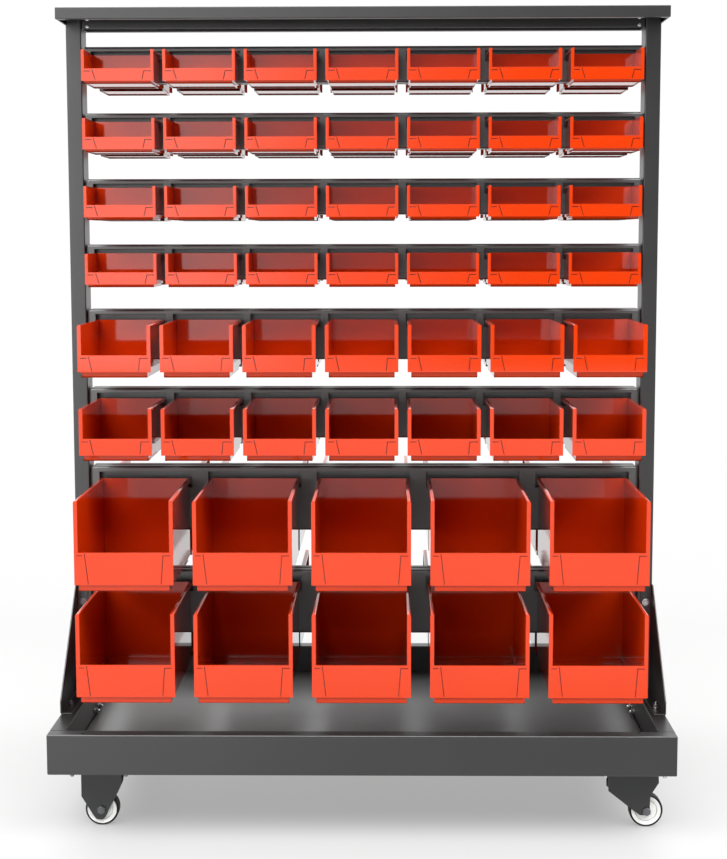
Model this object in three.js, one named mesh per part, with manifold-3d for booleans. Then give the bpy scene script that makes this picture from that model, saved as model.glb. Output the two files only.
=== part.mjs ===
// A double-sided mobile bin cart: a tray base on four casters, two uprights held by gussets,
// eight levels of bin rail and a small top tray. Millimetres, +Z up, the front is -Y.
// The origin is on the floor under the middle of the cart.
import * as THREE from "three";
import { mergeVertices } from "three/addons/utils/BufferGeometryUtils.js";
import Module from "manifold-3d";

const wasm = await Module();
wasm.setup();

// Frame
const frameWidth = 918;
const sheet = 2;
const fitGap = 0.3;
const runGap = 0.3;
const overrun = 5;
const mergeTolerance = 1e-4;

// Base: four open-bottomed box rails round a raised floor pan
const baseDepth = 581;
const baseHeight = 60;
const baseUnderside = 96.5;
const baseRailWidth = 24.7;
const floorRecess = 46;

// Uprights and gussets
const uprightDepth = 46;
const uprightFlange = 24;
const gussetReach = 158;
const gussetRise = 171;
const gussetToe = 21;
const gussetFoot = 18;
const gussetHead = 14;

// Top tray and the beam below it
const cartHeight = 1221;
const trayOverhang = 3.5;
const trayDepth = 180;
const trayRim = 17.5;
const trayReturn = 12;
const beamHeight = 22;

// Bin rails: a box of two folded channels back to back, with a window for each bin
const railThickness = 42;
const railEndGap = 4.5;
const tabDrop = 3;
const tabInset = 9;
const binPull = 7;
const tongueReach = 16;
const tongueThickness = 2.6;
const binWall = 2.2;

// Each kind of bin, with the rail that carries it. Drops are measured down from the top of the rail,
// a post is the steel between two windows, and the headroom is what the next level leaves above a bin.
const small = {
  count: 7,
  spacingShare: 1,
  headroom: 52.5,
  post: 12,
  endMargin: 9.5,
  binSpacing: 13.2,
  depth: 92,
  railHeight: 55.5,
  windowTopDrop: 7.3,
  windowBottomDrop: 24,
  binTopDrop: 13.5,
  frontHeight: 20.6,
  footHeight: 4.4,
  footInset: 4.5,
  rimWidth: 4.6,
  rimHeight: 3,
  tongueInset: 19.4,
  labelInset: 14,
  labelTaper: 6,
};
const medium = {
  count: 7,
  spacingShare: 1.226,
  headroom: 54.3,
  post: 12,
  endMargin: 9.5,
  binSpacing: 13.6,
  depth: 171,
  railHeight: 79.2,
  windowTopDrop: 7.5,
  windowBottomDrop: 28,
  binTopDrop: 16.2,
  frontHeight: 26.2,
  footHeight: 7.3,
  footInset: 5.5,
  rimWidth: 5.6,
  rimHeight: 4,
  tongueInset: 15.2,
  labelInset: 14,
  labelTaper: 6,
};
const large = {
  count: 5,
  spacingShare: 1.647,
  headroom: 43.5,
  post: 25.5,
  endMargin: 11,
  binSpacing: 28,
  depth: 242,
  railHeight: 102.8,
  windowTopDrop: 9,
  windowBottomDrop: 34,
  binTopDrop: 19.2,
  frontHeight: 49.6,
  footHeight: 7.6,
  footInset: 6.1,
  rimWidth: 5.8,
  rimHeight: 5,
  tongueInset: 20.5,
  labelInset: 14,
  labelTaper: 7.5,
};
const labelGroove = 1.2;
const labelDepth = 0.8;

// Levels from the top down: the kind of bin and whether the front bins lift off
const topRailDrop = 51.2;
const bottomRailRise = 192.6;
const levels = [
  { kind: small, loose: false },
  { kind: small, loose: false },
  { kind: small, loose: false },
  { kind: small, loose: false },
  { kind: medium, loose: true },
  { kind: medium, loose: true },
  { kind: large, loose: true },
  { kind: large, loose: true },
];

// Casters: a rigid pair at the left end, a swivelling pair at the right end
const wheelDiameter = 50;
const wheelWidth = 20;
const hubDiameter = 18;
const hubRecess = 1.6;
const treadThickness = 2.8;
const treadEdge = 1;
const axleDiameter = 8;
const axleHead = 13;
const axleHeadThickness = 4;
const forkSheet = 2.5;
const forkGap = 1.3;
const rigidEndInset = 69;
const swivelEndInset = 55;
const casterInset = 72;
const casterTrail = 20;
const plateThickness = 2.5;
const rigidPlateLength = 96;
const swivelPlateLength = 104;
const plateWidth = 78;
const plateHole = 8;
const raceDiameter = 58;
const raceHeight = 6;
const kingpinDiameter = 12;
const kingpinHead = 22;
const kingpinHeadHeight = 5;
const roundSides = 20;
const smallSides = 8;

const steel = { color: 0x4b4c4e, roughness: 0.45, metalness: 0.35 };
const plastic = { color: 0xfe4a2b, roughness: 0.38, metalness: 0 };
const zinc = { color: 0xb9bcc0, roughness: 0.3, metalness: 1 };
const blackPaint = { color: 0x2b2d2f, roughness: 0.4, metalness: 0.3 };
const wheelPlastic = { color: 0xe9e9e6, roughness: 0.4, metalness: 0 };

const cart = new THREE.Group();

// A closed three.js geometry as a solid that can be joined and cut
function solid(geometry) {
  const bare = geometry.index ? geometry.toNonIndexed() : geometry.clone();
  bare.deleteAttribute("normal");
  bare.deleteAttribute("uv");
  const merged = mergeVertices(bare, mergeTolerance);
  return new wasm.Manifold(
    new wasm.Mesh({
      numProp: 3,
      vertProperties: merged.attributes.position.array,
      triVerts: new Uint32Array(merged.index.array),
    }),
  );
}

// Adds a solid to the cart as a named mesh with a material of its own
function addPiece(name, body, look) {
  const made = body.getMesh();
  const geometry = new THREE.BufferGeometry();
  geometry.setAttribute(
    "position",
    new THREE.BufferAttribute(made.vertProperties, made.numProp),
  );
  geometry.setIndex(new THREE.BufferAttribute(made.triVerts, 1));
  geometry.computeVertexNormals();
  const mesh = new THREE.Mesh(geometry, new THREE.MeshStandardMaterial(look));
  mesh.name = name;
  cart.add(mesh);
}

function block(low, high) {
  const size = high.map((value, i) => value - low[i]);
  const geometry = new THREE.BoxGeometry(...size);
  geometry.translate(...low.map((value, i) => value + size[i] / 2));
  return solid(geometry);
}

// Local x, y and z of an outline drawn in the plane square to each axis
const planes = {
  x: [new THREE.Vector3(0, 1, 0), new THREE.Vector3(0, 0, 1), new THREE.Vector3(1, 0, 0)],
  y: [new THREE.Vector3(1, 0, 0), new THREE.Vector3(0, 0, 1), new THREE.Vector3(0, -1, 0)],
};

// An outline pushed along one axis: (y, z) points along x, (x, z) points along y
function prism(axis, outline, from, to) {
  const shape = new THREE.Shape(outline.map(([a, b]) => new THREE.Vector2(a, b)));
  const geometry = new THREE.ExtrudeGeometry(shape, { depth: to - from, bevelEnabled: false });
  const start = axis === "y" ? -to : from;
  const matrix = new THREE.Matrix4().makeBasis(...planes[axis]);
  matrix.setPosition(planes[axis][2].clone().multiplyScalar(start));
  return solid(geometry.applyMatrix4(matrix));
}

// A profile of (radius, height) points turned about the vertical
function turned(profile, sides) {
  const points = profile.map(([r, z]) => new THREE.Vector2(r, z));
  const geometry = new THREE.LatheGeometry(points, sides);
  return solid(geometry.rotateX(Math.PI / 2));
}

function drum(radius, from, to, sides) {
  return turned([[0, from], [radius, from], [radius, to], [0, to]], sides);
}

function join(parts) {
  return parts.reduce((all, part) => all.add(part));
}

function cut(body, tools) {
  return tools.reduce((left, tool) => left.subtract(tool), body);
}

function range(count) {
  return [...Array(count).keys()];
}

// Places that several pieces share
const halfWidth = frameWidth / 2;
const rigidX = rigidEndInset - halfWidth;
const swivelX = halfWidth - swivelEndInset;
const baseTop = baseUnderside + baseHeight;
const floorTop = baseTop - floorRecess;
const trayWidth = frameWidth + 2 * trayOverhang;
const traySheetUnderside = cartHeight - sheet;
const uprightInnerX = halfWidth - sheet;
const railHalf = railThickness / 2;
const railLength = 2 * (halfWidth - uprightFlange - railEndGap);
const topRailHeight = cartHeight - topRailDrop;
const spacingShares = levels.slice(0, -1).reduce((sum, { kind }) => sum + kind.spacingShare, 0);
const shareHeight = (topRailHeight - baseTop - bottomRailRise) / spacingShares;

// The sizes of a bin and its window that follow from the rail's length and the levels' spacing
[small, medium, large].forEach((kind) => {
  kind.spacing = kind.spacingShare * shareHeight;
  kind.pitch = (railLength - 2 * kind.endMargin + kind.post) / kind.count;
  kind.windowWidth = kind.pitch - kind.post;
  kind.width = kind.pitch - kind.binSpacing;
  kind.bodyHeight = kind.spacing - kind.headroom;
  kind.tongueWidth = kind.width - 2 * kind.tongueInset;
});

// Folded sheet with a top and four sides, open below
function channelBelow(low, high) {
  const inner = block(
    [low[0] + sheet, low[1] + sheet, low[2] - overrun],
    [high[0] - sheet, high[1] - sheet, high[2] - sheet],
  );
  return cut(block(low, high), [inner]);
}

// A base rail along X: a closed front, top and bottom, and a back wall that ends at the floor pan
function baseRail(length, endWall) {
  const half = length / 2;
  const reach = endWall ? half - endWall : half + overrun;
  const hollow = block(
    [-reach, sheet, baseUnderside + sheet],
    [reach, baseRailWidth - sheet, baseTop - sheet],
  );
  const slot = block(
    [-reach, sheet, baseUnderside + sheet],
    [reach, baseRailWidth + overrun, floorTop - sheet],
  );
  const tube = block([-half, 0, baseUnderside], [half, baseRailWidth, baseTop]);
  return cut(tube, [hollow, slot]);
}

function addBase() {
  const innerY = baseDepth / 2 - baseRailWidth;
  const innerX = halfWidth - baseRailWidth;
  const front = baseRail(frameWidth, sheet).translate([0, -baseDepth / 2, 0]);
  addPiece("base_front_rail", front, steel);
  addPiece("base_rear_rail", front.rotate([0, 0, 180]), steel);
  const side = baseRail(2 * (innerY - fitGap), 0).translate([0, -halfWidth, 0]);
  addPiece("base_right_rail", side.rotate([0, 0, 90]), steel);
  addPiece("base_left_rail", side.rotate([0, 0, -90]), steel);

  const panX = innerX - fitGap;
  const panY = innerY - fitGap;
  const pads = [
    [rigidX, rigidPlateLength],
    [swivelX, swivelPlateLength],
  ].map(([x, length]) => [Math.max(x - length / 2, -panX), Math.min(x + length / 2, panX)]);
  const channels = pads.map(([from, to]) =>
    block([from, -panY, baseUnderside], [to, panY, floorTop]),
  );
  const hollows = pads.map(([from, to]) =>
    block(
      [from + sheet, -panY - overrun, baseUnderside + sheet],
      [to - sheet, panY + overrun, floorTop - sheet],
    ),
  );
  const pan = channelBelow([-panX, -panY, baseUnderside], [panX, panY, floorTop]);
  addPiece("base_floor", cut(join([pan, ...channels]), hollows), steel);
}

// Uprights: channels whose webs face out, standing on the side rails of the base
function addUprights() {
  const bottom = baseTop + fitGap;
  const top = traySheetUnderside - fitGap;
  const halfDepth = uprightDepth / 2;
  const outer = block([halfWidth - uprightFlange, -halfDepth, bottom], [halfWidth, halfDepth, top]);
  const hollow = block(
    [halfWidth - uprightFlange - overrun, -halfDepth + sheet, bottom - overrun],
    [uprightInnerX, halfDepth - sheet, top + overrun],
  );
  const right = cut(outer, [hollow]);
  addPiece("right_upright", right, steel);
  addPiece("left_upright", right.rotate([0, 0, 180]), steel);
}

// Gussets: a sloping side plate with a foot on the base and a head on the upright's flange
function gusset() {
  const foot = baseTop + fitGap;
  const back = -uprightDepth / 2 - fitGap;
  const side = [
    [back, foot],
    [back, foot + gussetRise],
    [back - gussetHead, foot + gussetRise],
    [back - gussetReach, foot + gussetToe],
    [back - gussetReach, foot],
  ];
  const plate = prism("x", side, halfWidth - sheet, halfWidth);
  const base = block(
    [halfWidth - gussetFoot, back - gussetReach, foot],
    [halfWidth, back, foot + sheet],
  );
  const head = block(
    [halfWidth - gussetFoot, back - sheet, foot],
    [halfWidth, back, foot + gussetRise],
  );
  return join([plate, base, head]);
}

function addGussets() {
  const frontRight = gusset();
  const frontLeft = frontRight.mirror([1, 0, 0]);
  addPiece("front_right_gusset", frontRight, steel);
  addPiece("front_left_gusset", frontLeft, steel);
  addPiece("rear_right_gusset", frontRight.mirror([0, 1, 0]), steel);
  addPiece("rear_left_gusset", frontLeft.mirror([0, 1, 0]), steel);
}

// Top tray: a pan turned down at its edges, with a narrow return all round, and the beam that carries it
function addTop() {
  const x = trayWidth / 2;
  const y = trayDepth / 2;
  const rimBottom = cartHeight - trayRim;
  const pan = block([-x, -y, rimBottom], [x, y, cartHeight]);
  const hollow = block(
    [-x + sheet, -y + sheet, rimBottom + sheet],
    [x - sheet, y - sheet, traySheetUnderside],
  );
  const endReturn = trayOverhang - fitGap;
  const mouth = block(
    [-x + endReturn, -y + trayReturn, rimBottom - overrun],
    [x - endReturn, y - trayReturn, traySheetUnderside],
  );
  addPiece("top_tray", cut(pan, [hollow, mouth]), steel);

  const beamTop = traySheetUnderside - fitGap;
  const beam = channelBelow(
    [-uprightInnerX + fitGap, -railHalf, beamTop - beamHeight],
    [uprightInnerX - fitGap, railHalf, beamTop],
  );
  addPiece("top_beam", beam, steel);
}

// The cuts that open a bin: its hollow, down to a given floor, and the gap above its low front
function binHollows(kind, floor) {
  const { width, depth, bodyHeight, frontHeight, rimWidth } = kind;
  const inside = width / 2 - rimWidth;
  const lip = frontHeight - bodyHeight;
  return [
    block([-inside, -depth + binWall, floor], [inside, -binWall, overrun]),
    block([-inside, -depth - overrun, lip], [inside, -depth + binWall + overrun, overrun]),
  ];
}

// One bin that lifts off. Its back lies in y = 0, its open top in z = 0 and its front faces -Y.
// The step below its floor nests between the rims of another bin.
function looseBin(kind) {
  const { width, depth, bodyHeight, rimWidth, rimHeight, footHeight, footInset } = kind;
  const outer = width / 2;
  const body = outer - rimWidth + binWall;
  const foot = outer - footInset;
  const bottom = -bodyHeight - footHeight;
  const walls = [
    block([-body, -depth, -bodyHeight], [body, 0, 0]),
    block([-outer, -depth, -rimHeight], [outer, 0, 0]),
    block([-outer, -depth, -bodyHeight], [outer, -depth + binWall, 0]),
    block([-foot, -depth + binWall / 2, bottom], [foot, -footInset, -bodyHeight + binWall / 2]),
  ];
  const well = block(
    [-foot + binWall, -depth + 2 * binWall, bottom + binWall],
    [foot - binWall, -footInset - binWall, -bodyHeight + overrun],
  );
  const cuts = [...binHollows(kind, -bodyHeight + binWall), well, ...labelGrooves(kind)];
  return join([cut(join(walls), cuts), tongue(kind)]);
}

// The same bin in fewer faces, pressed against the rail that it is one with: its side walls are as
// thick as the rim and run straight down to the foot
function fixedBin(kind) {
  const { width, depth, bodyHeight, footHeight } = kind;
  const bottom = -bodyHeight - footHeight;
  const body = block([-width / 2, -depth, bottom], [width / 2, fitGap, 0]);
  return cut(body, binHollows(kind, bottom + binWall));
}

// The two slanting grooves that frame the label panel on a bin's front
function labelGrooves(kind) {
  const { width, depth, bodyHeight, frontHeight, labelInset, labelTaper } = kind;
  const top = frontHeight - bodyHeight - binWall;
  const bottom = -bodyHeight + binWall;
  const outerTop = width / 2 - labelInset;
  const outline = [
    [outerTop, top],
    [outerTop - labelGroove, top],
    [outerTop - labelGroove - labelTaper, bottom],
    [outerTop - labelTaper, bottom],
  ];
  const groove = prism("y", outline, -depth - overrun, -depth + labelDepth);
  return [groove, groove.mirror([1, 0, 0])];
}

// The tongue that hangs a bin in its window, sloping down into the rail along the way the bin pulls off
function tongue(kind) {
  const fall = Math.tan(THREE.MathUtils.degToRad(binPull));
  const sill = kind.binTopDrop - kind.windowBottomDrop + fitGap;
  const under = (y) => sill + (fitGap + sheet - y) * fall;
  const outline = [
    [-binWall / 2, under(-binWall / 2)],
    [tongueReach, under(tongueReach)],
    [tongueReach, under(tongueReach) + tongueThickness],
    [-binWall / 2, under(-binWall / 2) + tongueThickness],
  ];
  return prism("x", outline, -kind.tongueWidth / 2, kind.tongueWidth / 2);
}

function binPlaces(kind) {
  return range(kind.count).map((i) => (i - (kind.count - 1) / 2) * kind.pitch);
}

// One rail with its windows on both sides, and a U-shaped tab at each end that bolts to an upright
function rail(kind) {
  const { railHeight, windowWidth, windowTopDrop, windowBottomDrop } = kind;
  const length = railLength / 2;
  const tabEnd = uprightInnerX - fitGap;
  const shell = block([-length, -railHalf, -railHeight], [length, railHalf, 0]);
  const tabs = block(
    [-tabEnd, -railHalf + tabInset, tabDrop - railHeight],
    [tabEnd, railHalf - tabInset, -tabDrop],
  );
  const tabHollow = block(
    [length, -railHalf + tabInset + sheet, -railHeight],
    [tabEnd - sheet, railHalf - tabInset - sheet, 0],
  );
  const chamber = block(
    [-length + sheet, -railHalf + sheet, -railHeight + sheet],
    [length - sheet, -sheet / 2, -sheet],
  );
  const windows = binPlaces(kind).map((x) =>
    block(
      [x - windowWidth / 2, -railHalf - overrun, -windowBottomDrop],
      [x + windowWidth / 2, -railHalf + sheet + overrun, -windowTopDrop],
    ),
  );
  const front = join([chamber, ...windows]);
  const hollows = [front, front.mirror([0, 1, 0]), tabHollow, tabHollow.mirror([1, 0, 0])];
  return cut(join([shell, tabs]), hollows);
}

// Rails from the top down. Fixed bins are one with their rail, bins that lift off are pieces of their own.
function addLevels() {
  let top = topRailHeight;
  levels.forEach(({ kind, loose }, i) => {
    const bins = binPlaces(kind).map((x) => ({ x, front: !loose }));
    const carried = bins.flatMap(({ x, front }) => {
      const fixed = fixedBin(kind).translate([x, -railHalf, -kind.binTopDrop]);
      const rear = fixed.rotate([0, 0, 180]);
      return front ? [fixed, rear] : [rear];
    });
    const body = join([rail(kind), ...carried]).translate([0, 0, top]);
    addPiece("bin_rail_" + (i + 1), body, loose ? steel : plastic);
    if (loose) {
      const hung = looseBin(kind);
      binPlaces(kind).forEach((x, j) => {
        const place = [x, -railHalf - fitGap, top - kind.binTopDrop];
        addPiece("bin_" + (i + 1) + "_" + (j + 1), hung.translate(place), plastic);
      });
    }
    top -= kind.spacing;
  });
}

// Outlines of a fork leg seen from the front, as shares of half its top width and of its height.
// The axle lies at height 0 and the top of the leg at height 1.
const rigidLegShares = [
  [-1, 1],
  [-1, 0.3],
  [-0.33, -0.16],
  [-0.2, -0.22],
  [0.05, -0.22],
  [0.2, -0.14],
  [0.42, 0.06],
  [0.7, 0.28],
  [0.98, 0.56],
  [1, 0.66],
  [1, 1],
];
const swivelLegShares = [
  [-1, 1],
  [-1, 0.5],
  [-0.14, 0.09],
  [0.27, -0.1],
  [0.68, -0.1],
  [0.68, 0.32],
  [0.74, 0.43],
  [1.03, 0.7],
  [1, 1],
];
const rigidLegHalfWidth = 30;
const swivelLegHalfWidth = 37;
const wheelCentre = wheelDiameter / 2;
const legInner = wheelWidth / 2 + forkGap;
const legOuter = legInner + forkSheet;
const plateTop = baseUnderside - fitGap;
const plateBottom = plateTop - plateThickness;

// A round solid lying along Y at the wheel's height
function acrossWheel(profile, sides, x) {
  return turned(profile, sides).rotate([90, 0, 0]).translate([x, 0, wheelCentre]);
}

function legs(shares, halfTop, crownTop) {
  const height = crownTop - wheelCentre;
  const outline = shares.map(([a, b]) => [a * halfTop, wheelCentre + b * height]);
  const leg = prism("y", outline, -legOuter, -legInner);
  const crown = block([-halfTop, -legOuter, crownTop - forkSheet], [halfTop, legOuter, crownTop]);
  return join([leg, leg.mirror([0, 1, 0]), crown]);
}

function axleHole(x) {
  const radius = axleDiameter / 2 + runGap;
  const reach = legOuter + overrun;
  return acrossWheel([[0, -reach], [radius, -reach], [radius, reach], [0, reach]], smallSides, x);
}

function axle(x) {
  const headInner = legOuter + runGap;
  const headOuter = headInner + axleHeadThickness;
  const shank = axleDiameter / 2;
  const head = axleHead / 2;
  const profile = [
    [0, -headOuter],
    [head, -headOuter],
    [head, -headInner],
    [shank, -headInner],
    [shank, headInner],
    [head, headInner],
    [head, headOuter],
    [0, headOuter],
  ];
  return acrossWheel(profile, smallSides, x);
}

function wheel(x) {
  const bore = axleDiameter / 2 + runGap;
  const half = wheelWidth / 2;
  const rim = wheelCentre - treadThickness;
  const hub = hubDiameter / 2;
  const side = (s) => [
    [bore, s * half],
    [hub, s * half],
    [hub + hubRecess, s * (half - hubRecess)],
    [rim - hubRecess, s * (half - hubRecess)],
    [rim, s * half],
    [wheelCentre, s * (half - treadEdge)],
  ];
  const profile = [...side(-1), ...side(1).reverse(), side(-1)[0]];
  return acrossWheel(profile, roundSides, x);
}

function plate(length, x) {
  const holes = [-1, 1].flatMap((a) =>
    [-1, 1].map((b) =>
      drum(plateHole / 2, plateBottom - overrun, plateTop + overrun, smallSides).translate([
        x + a * (length / 2 - plateHole),
        b * (plateWidth / 2 - plateHole),
        0,
      ]),
    ),
  );
  const half = length / 2;
  const flat = block([x - half, -plateWidth / 2, plateBottom], [x + half, plateWidth / 2, plateTop]);
  return cut(flat, holes);
}

function addCasters() {
  const casterY = baseDepth / 2 - casterInset;
  const raceBottom = plateBottom - raceHeight;
  const crownTop = raceBottom - runGap;
  const crownBottom = crownTop - forkSheet;
  const pinEnd = crownBottom - runGap - kingpinHeadHeight;
  const rigidFork = join([
    legs(rigidLegShares, rigidLegHalfWidth, plateBottom + plateThickness / 2),
    plate(rigidPlateLength, 0),
  ]);
  const swivelPlate = join([
    plate(swivelPlateLength, 0),
    drum(raceDiameter / 2, raceBottom, plateBottom + plateThickness / 2, roundSides),
    drum(kingpinDiameter / 2, pinEnd, plateBottom, smallSides),
    drum(kingpinHead / 2, pinEnd, pinEnd + kingpinHeadHeight, smallSides),
  ]);
  const pinRoom = kingpinDiameter / 2 + runGap;
  const pinHole = drum(pinRoom, crownBottom - overrun, crownTop + overrun, roundSides);
  const swivelFork = cut(legs(swivelLegShares, swivelLegHalfWidth, crownTop), [pinHole]);
  [["front", -casterY], ["rear", casterY]].forEach(([end, y]) => {
    const rigid = [rigidX, y, 0];
    const swivel = [swivelX, y, 0];
    addPiece(end + "_rigid_fork", cut(rigidFork, [axleHole(0)]).translate(rigid), blackPaint);
    addPiece(end + "_rigid_axle", axle(0).translate(rigid), zinc);
    addPiece(end + "_rigid_wheel", wheel(0).translate(rigid), wheelPlastic);
    addPiece(end + "_swivel_plate", swivelPlate.translate(swivel), zinc);
    addPiece(end + "_swivel_fork", cut(swivelFork, [axleHole(casterTrail)]).translate(swivel), blackPaint);
    addPiece(end + "_swivel_axle", axle(casterTrail).translate(swivel), zinc);
    addPiece(end + "_swivel_wheel", wheel(casterTrail).translate(swivel), wheelPlastic);
  });
}

addBase();
addUprights();
addGussets();
addTop();
addLevels();
addCasters();

export default cart;
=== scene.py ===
# A double-sided mobile bin cart: folded steel base, uprights, tray and rails in dark grey powder
# coat, 104 moulded bins hung on the rails, and four small casters. Metres, the front is -Y.
from math import pi, radians, tan, tau

import bmesh
import bpy
from mathutils import Matrix, Vector


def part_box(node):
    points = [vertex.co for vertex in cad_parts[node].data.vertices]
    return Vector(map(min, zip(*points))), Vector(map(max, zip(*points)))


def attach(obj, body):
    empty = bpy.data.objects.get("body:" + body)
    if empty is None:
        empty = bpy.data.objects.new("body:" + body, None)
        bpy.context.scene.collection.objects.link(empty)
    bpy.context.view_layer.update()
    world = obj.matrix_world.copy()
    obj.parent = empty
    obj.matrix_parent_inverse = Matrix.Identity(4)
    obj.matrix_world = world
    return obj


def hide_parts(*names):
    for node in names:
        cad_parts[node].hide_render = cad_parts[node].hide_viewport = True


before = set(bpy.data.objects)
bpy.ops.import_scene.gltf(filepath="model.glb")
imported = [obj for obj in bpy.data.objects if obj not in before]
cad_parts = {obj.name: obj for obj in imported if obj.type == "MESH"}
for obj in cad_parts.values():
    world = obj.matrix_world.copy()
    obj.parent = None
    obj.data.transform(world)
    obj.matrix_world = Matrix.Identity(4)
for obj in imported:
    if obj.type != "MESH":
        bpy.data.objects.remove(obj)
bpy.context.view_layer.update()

# Camera
# It stands in front of the cart at waist height, a little right of the middle, and looks slightly down.
camera_place = Vector((0.04062, -2.74292, 0.87637))
camera_down = 0.1105
camera_left = 0.0149
camera_roll = -0.0018
sensor_height = 36
focal_heights = 2.0175

camera = bpy.data.objects.new("camera", bpy.data.cameras.new("camera"))
camera.data.sensor_fit = "VERTICAL"
camera.data.sensor_height = sensor_height
camera.data.lens = focal_heights * sensor_height
camera.matrix_world = (
    Matrix.Translation(camera_place)
    @ Matrix.Rotation(camera_left, 4, "Z")
    @ Matrix.Rotation(pi / 2 - camera_down, 4, "X")
    @ Matrix.Rotation(camera_roll, 4, "Z")
)
bpy.context.scene.collection.objects.link(camera)
bpy.context.scene.camera = camera

# Studio
# A pale floor without an edge under a white sky. The sky is brightest at the left and above, and dims
# towards the right in front of the cart, so that glossy fronts fade from left to right. The front of the
# base mirrors the floor, which carries a soft patch of painted shade before its right half. The floor also
# glows, a painted light that lifts the shade under the cart. A span runs from none to all.
sky_behind = 1.02
sky_front = 0.08
sky_left = 1.0
sky_left_span = (0.10, -0.08)
sky_far_left = 1.8
sky_far_left_span = (-0.03, -0.13)
sky_right = 0.5
sky_right_span = (0.5, 0.9)
sky_above = 8.8
sky_above_span = (0.50, 0.66)
zenith_span = (0.8, 0.95)
zenith_dimming = 0.7
left_end_span = (-0.3, -0.6)
left_end_dimming = 0.2
upper_left_span = (0.2, 0.4)
upper_left_dimming = 0.8
rear_span = (-0.25, 0.2)
rear_dimming = 0.8
floor_half = 9.0
floor_near = 0.20
floor_painted_shade = 0.090
floor_behind = 0.175
floor_painted_glow = 1.75
floor_cloud = 0.02
shade_patch_near_span = (-0.38, -0.60)
shade_patch_far_span = (-1.5, -0.7)
shade_patch_left_span = (-0.7, 0.2)
shade_patch_right_span = (1.3, 0.5)
floor_behind_span = (0.3, 1.2)

bpy.context.scene.view_settings.view_transform = "Standard"


class Value:
    """A number that varies over a surface. Sums and products of values add Math nodes."""

    def __init__(self, finish, socket):
        self.finish = finish
        self.socket = socket

    def math(self, operation, first, second):
        return self.finish.node("Math", {"operation": operation}, {0: first, 1: second})

    def __add__(self, other):
        return self.math("ADD", self, other)

    def __radd__(self, other):
        return self.math("ADD", other, self)

    def __sub__(self, other):
        return self.math("SUBTRACT", self, other)

    def __rsub__(self, other):
        return self.math("SUBTRACT", other, self)

    def __mul__(self, other):
        return self.math("MULTIPLY", self, other)

    def __rmul__(self, other):
        return self.math("MULTIPLY", other, self)


class Finish:
    """A surface finish, or the sky, built from nodes."""

    def __init__(self, holder, shader="Principled BSDF", place="Object"):
        self.holder = holder
        self.holder.use_nodes = True
        self.tree = self.holder.node_tree
        self.shader = self.tree.nodes[shader]
        self.place = self.node("TexCoord", out=place)

    def node(self, kind, settings=None, inputs=None, out=0):
        made = self.tree.nodes.new("ShaderNode" + kind)
        for key, value in (settings or {}).items():
            setattr(made, key, value)
        self.feed(made, inputs or {})
        return Value(self, made.outputs[out])

    def feed(self, node, inputs):
        for key, value in inputs.items():
            if isinstance(value, Value):
                self.tree.links.new(value.socket, node.inputs[key])
            else:
                node.inputs[key].default_value = value

    def ramp(self, value, start, end):
        """Runs smoothly from 0 to 1 as a value goes from start to end."""
        inputs = {"Value": value, "From Min": start, "From Max": end}
        return self.node("MapRange", {"interpolation_type": "SMOOTHSTEP"}, inputs)

    def noise(self, scale, detail=2):
        return self.node("TexNoise", inputs={"Vector": self.place, "Scale": scale, "Detail": detail})

    def blend(self, amount, dark, light):
        dark, light = (c if isinstance(c, Value) else (*c, 1) for c in (dark, light))
        return self.node("Mix", {"data_type": "RGBA"}, {0: amount, 6: dark, 7: light}, out=2)

    def bump(self, height, distance):
        return self.node("Bump", inputs={"Height": height, "Distance": distance, "Strength": 1.0})

    def surface(self, **inputs):
        named = {key.replace("_", " "): value for key, value in inputs.items()}
        self.feed(self.shader, named)
        return self.holder


def new_finish(name):
    return Finish(bpy.data.materials.new(name))


def grey(level):
    return (level,) * 3


def studio_sky():
    world = bpy.data.worlds.new("studio")
    bpy.context.scene.world = world
    sky = Finish(world, "Background", "Generated")
    x, y, z = (sky.node("SeparateXYZ", inputs={0: sky.place}, out=i) for i in range(3))
    left = sky.ramp(x, *sky_left_span) * sky_left + sky.ramp(x, *sky_far_left_span) * sky_far_left
    left_end = 1.0 - sky.ramp(x, *left_end_span) * left_end_dimming
    upper_left = 1.0 - sky.ramp(z, *upper_left_span) * upper_left_dimming
    front = sky_front + left * (left_end * upper_left) + sky.ramp(x, *sky_right_span) * sky_right
    rear = sky.ramp(y, *rear_span)
    level = front * (1.0 - rear) + rear * sky_behind
    zenith = 1.0 - sky.ramp(z, *zenith_span) * zenith_dimming
    above = sky.ramp(z, *sky_above_span) * zenith * (1.0 - rear * rear_dimming)
    sky.surface(Color=(1, 1, 1, 1), Strength=level + above * sky_above)


studio_sky()


def floor_finish():
    pale = new_finish("pale_floor")
    x, y = (pale.node("SeparateXYZ", inputs={0: pale.place}, out=i) for i in range(2))
    # A soft patch of painted shade on the floor before the right half of the base, whose front mirrors it.
    along = pale.ramp(y, *shade_patch_near_span) * pale.ramp(y, *shade_patch_far_span)
    across = pale.ramp(x, *shade_patch_left_span) * pale.ramp(x, *shade_patch_right_span)
    patch = along * across + pale.noise(3) * floor_cloud
    shade = pale.blend(patch, grey(floor_near), grey(floor_painted_shade))
    shade = pale.blend(pale.ramp(y, *floor_behind_span), shade, grey(floor_behind))
    # The floor's glow is painted light that lifts the shade under the cart.
    return pale.surface(Base_Color=shade, Roughness=0.5, Emission_Color=shade, Emission_Strength=floor_painted_glow)


floor_mesh = bpy.data.meshes.new("floor")
bm = bmesh.new()
bmesh.ops.create_grid(bm, x_segments=1, y_segments=1, size=floor_half)
bm.to_mesh(floor_mesh)
bm.free()
floor = bpy.data.objects.new("floor", floor_mesh)
floor_mesh.materials.append(floor_finish())
bpy.context.scene.collection.objects.link(floor)

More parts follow.
